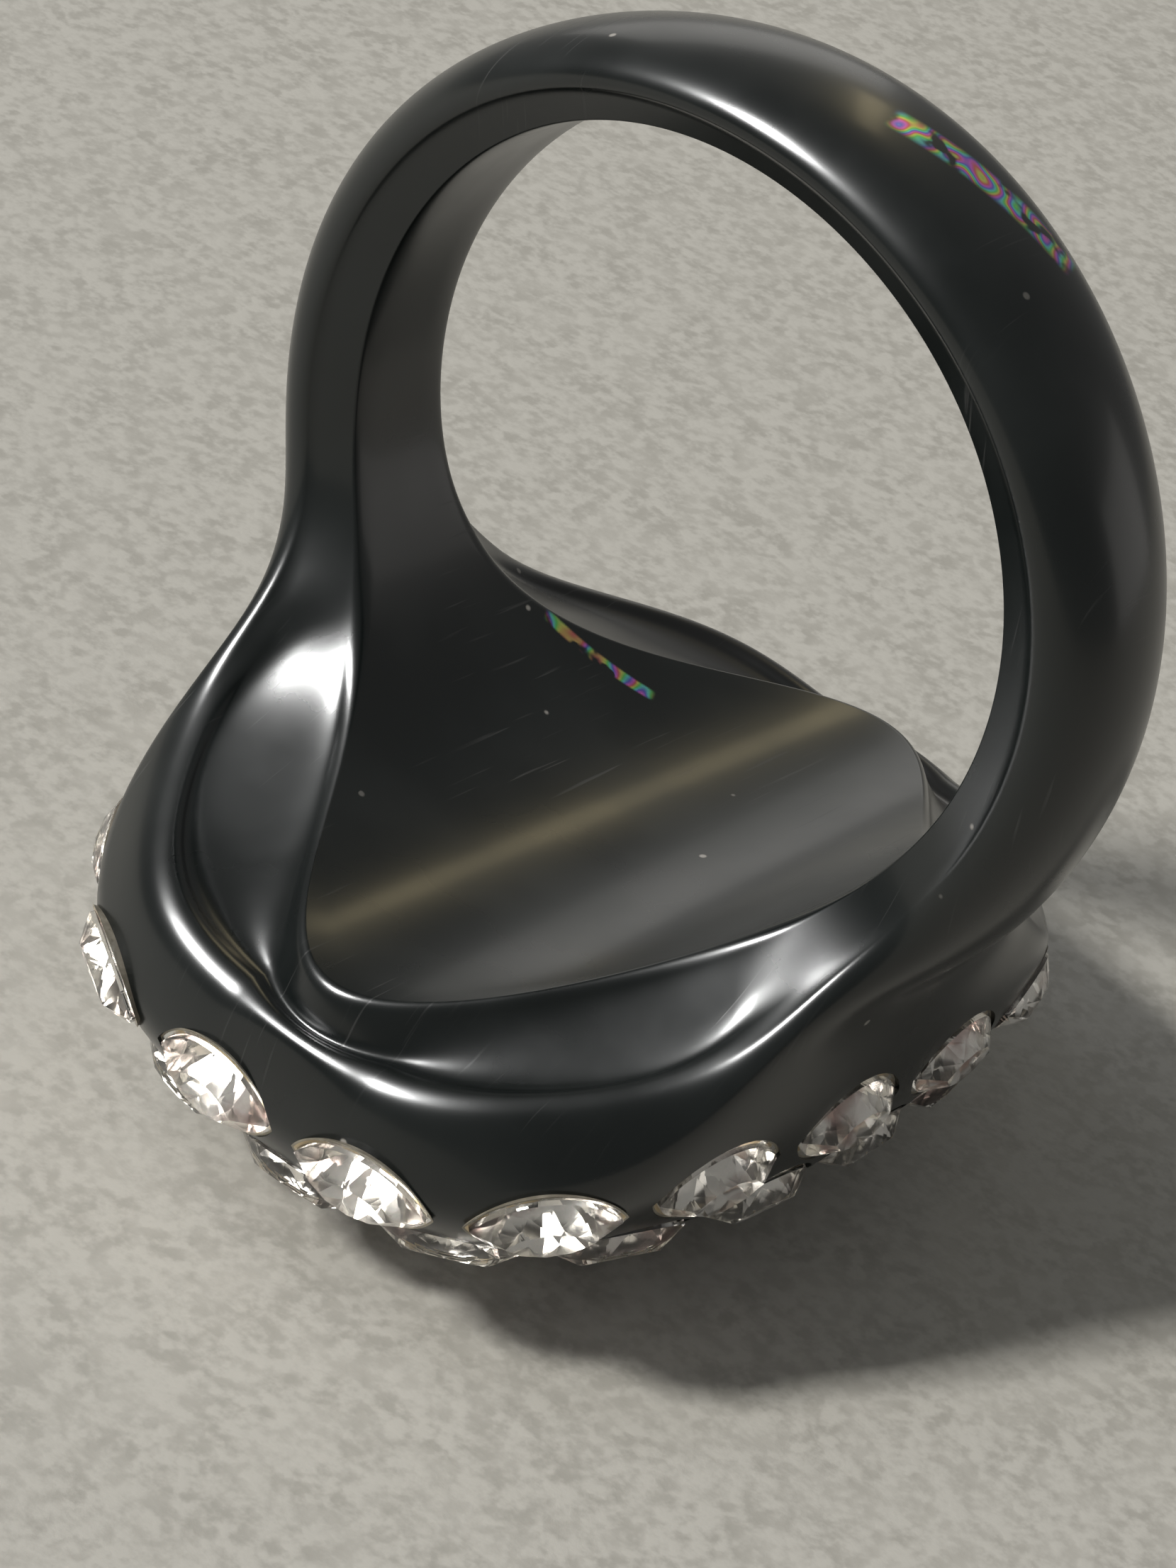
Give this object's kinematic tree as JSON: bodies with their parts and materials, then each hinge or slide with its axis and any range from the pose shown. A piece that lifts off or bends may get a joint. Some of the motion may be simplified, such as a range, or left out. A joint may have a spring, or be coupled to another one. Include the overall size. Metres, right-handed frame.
{
  "type": "cocktail ring",
  "caption": "Domed one-piece dress ring with a scooped finger hole and staggered rows of small marquise stones over its oval head.",
  "frame": {"origin": "centre of the finger hole, on its axis midway along it", "axes": "+Y along the finger hole, -Z towards the bottom of the domed head, +Z towards the band behind the finger"},
  "size_m": [0.0222, 0.0228, 0.0263],
  "materials": {
    "body": "gloss",
    "stone": "gloss",
    "foil": "polished",
    "cement": "matte"
  },
  "bodies": {
    "root": {"ring_body": "body", "stone_middle": "stone", "stone_rim_01": "stone", "stone_rim_02": "stone", "stone_rim_03": "stone", "stone_rim_04": "stone", "stone_rim_05": "stone", "stone_rim_06": "stone", "stone_rim_07": "stone", "stone_rim_08": "stone", "stone_rim_09": "stone", "stone_rim_10": "stone", "stone_rim_11": "stone", "stone_rim_12": "stone", "stone_rim_13": "stone", "stone_rim_14": "stone", "stone_rim_15": "stone", "stone_rim_16": "stone", "stone_second_01": "stone", "stone_second_02": "stone", "stone_second_03": "stone", "stone_second_04": "stone", "stone_second_05": "stone", "stone_second_06": "stone", "stone_second_07": "stone", "stone_second_08": "stone", "stone_second_09": "stone", "stone_second_10": "stone", "stone_second_11": "stone", "stone_second_12": "stone", "stone_second_13": "stone", "stone_second_14": "stone", "stone_second_15": "stone", "stone_second_16": "stone", "stone_third_01": "stone", "stone_third_02": "stone", "stone_third_03": "stone", "stone_third_04": "stone", "stone_third_05": "stone", "stone_third_06": "stone", "stone_third_07": "stone", "stone_third_08": "stone", "stone_third_09": "stone", "stone_third_10": "stone", "stone_crown_01": "stone", "stone_crown_02": "stone", "stone_crown_03": "stone", "stone_crown_04": "stone", "stone_crown_05": "stone", "stone_crown_06": "stone", "foil_rim": "foil", "foil_second": "foil", "foil_third": "foil", "foil_crown": "foil", "cement_rim": "cement", "cement_second": "cement", "cement_third": "cement", "cement_crown": "cement"}
  },
  "joints": []
}
